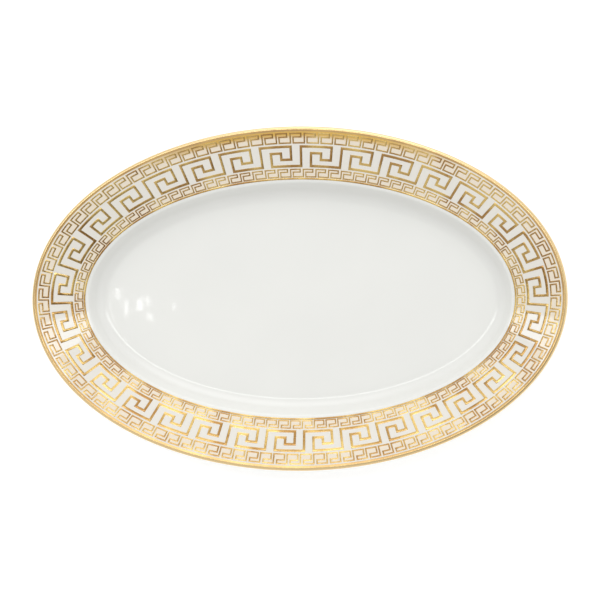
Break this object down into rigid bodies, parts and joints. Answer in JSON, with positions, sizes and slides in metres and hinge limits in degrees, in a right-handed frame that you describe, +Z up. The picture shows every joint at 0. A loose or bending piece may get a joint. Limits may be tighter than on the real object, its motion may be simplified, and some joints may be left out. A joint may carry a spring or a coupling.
{
  "type": "serving platter",
  "caption": "Oval glazed china serving platter with a shallow well, a foot ring, a gilt lip and gilt Greek key borders round its sloping rim.",
  "frame": {"origin": "centre of the plane that the foot ring rests on, under the middle of the oval", "axes": "+X along the long axis of the oval, +Y along its short axis, +Z up, out of the well"},
  "size_m": [0.34, 0.217, 0.028],
  "materials": {
    "china": "clear gloss glaze over white china, bare and matt on the foot ring's resting edge",
    "burnished_gold": "satin bright gilding, fired over the glaze",
    "printed_gold": "slightly raised deep gold print, fired over the glaze"
  },
  "bodies": {
    "root": {"china_body": "china", "gold_lip_band": "burnished_gold", "outer_small_key_border": "printed_gold", "main_key_border": "printed_gold", "inner_small_key_border": "printed_gold", "inner_gold_line": "printed_gold"}
  },
  "joints": []
}
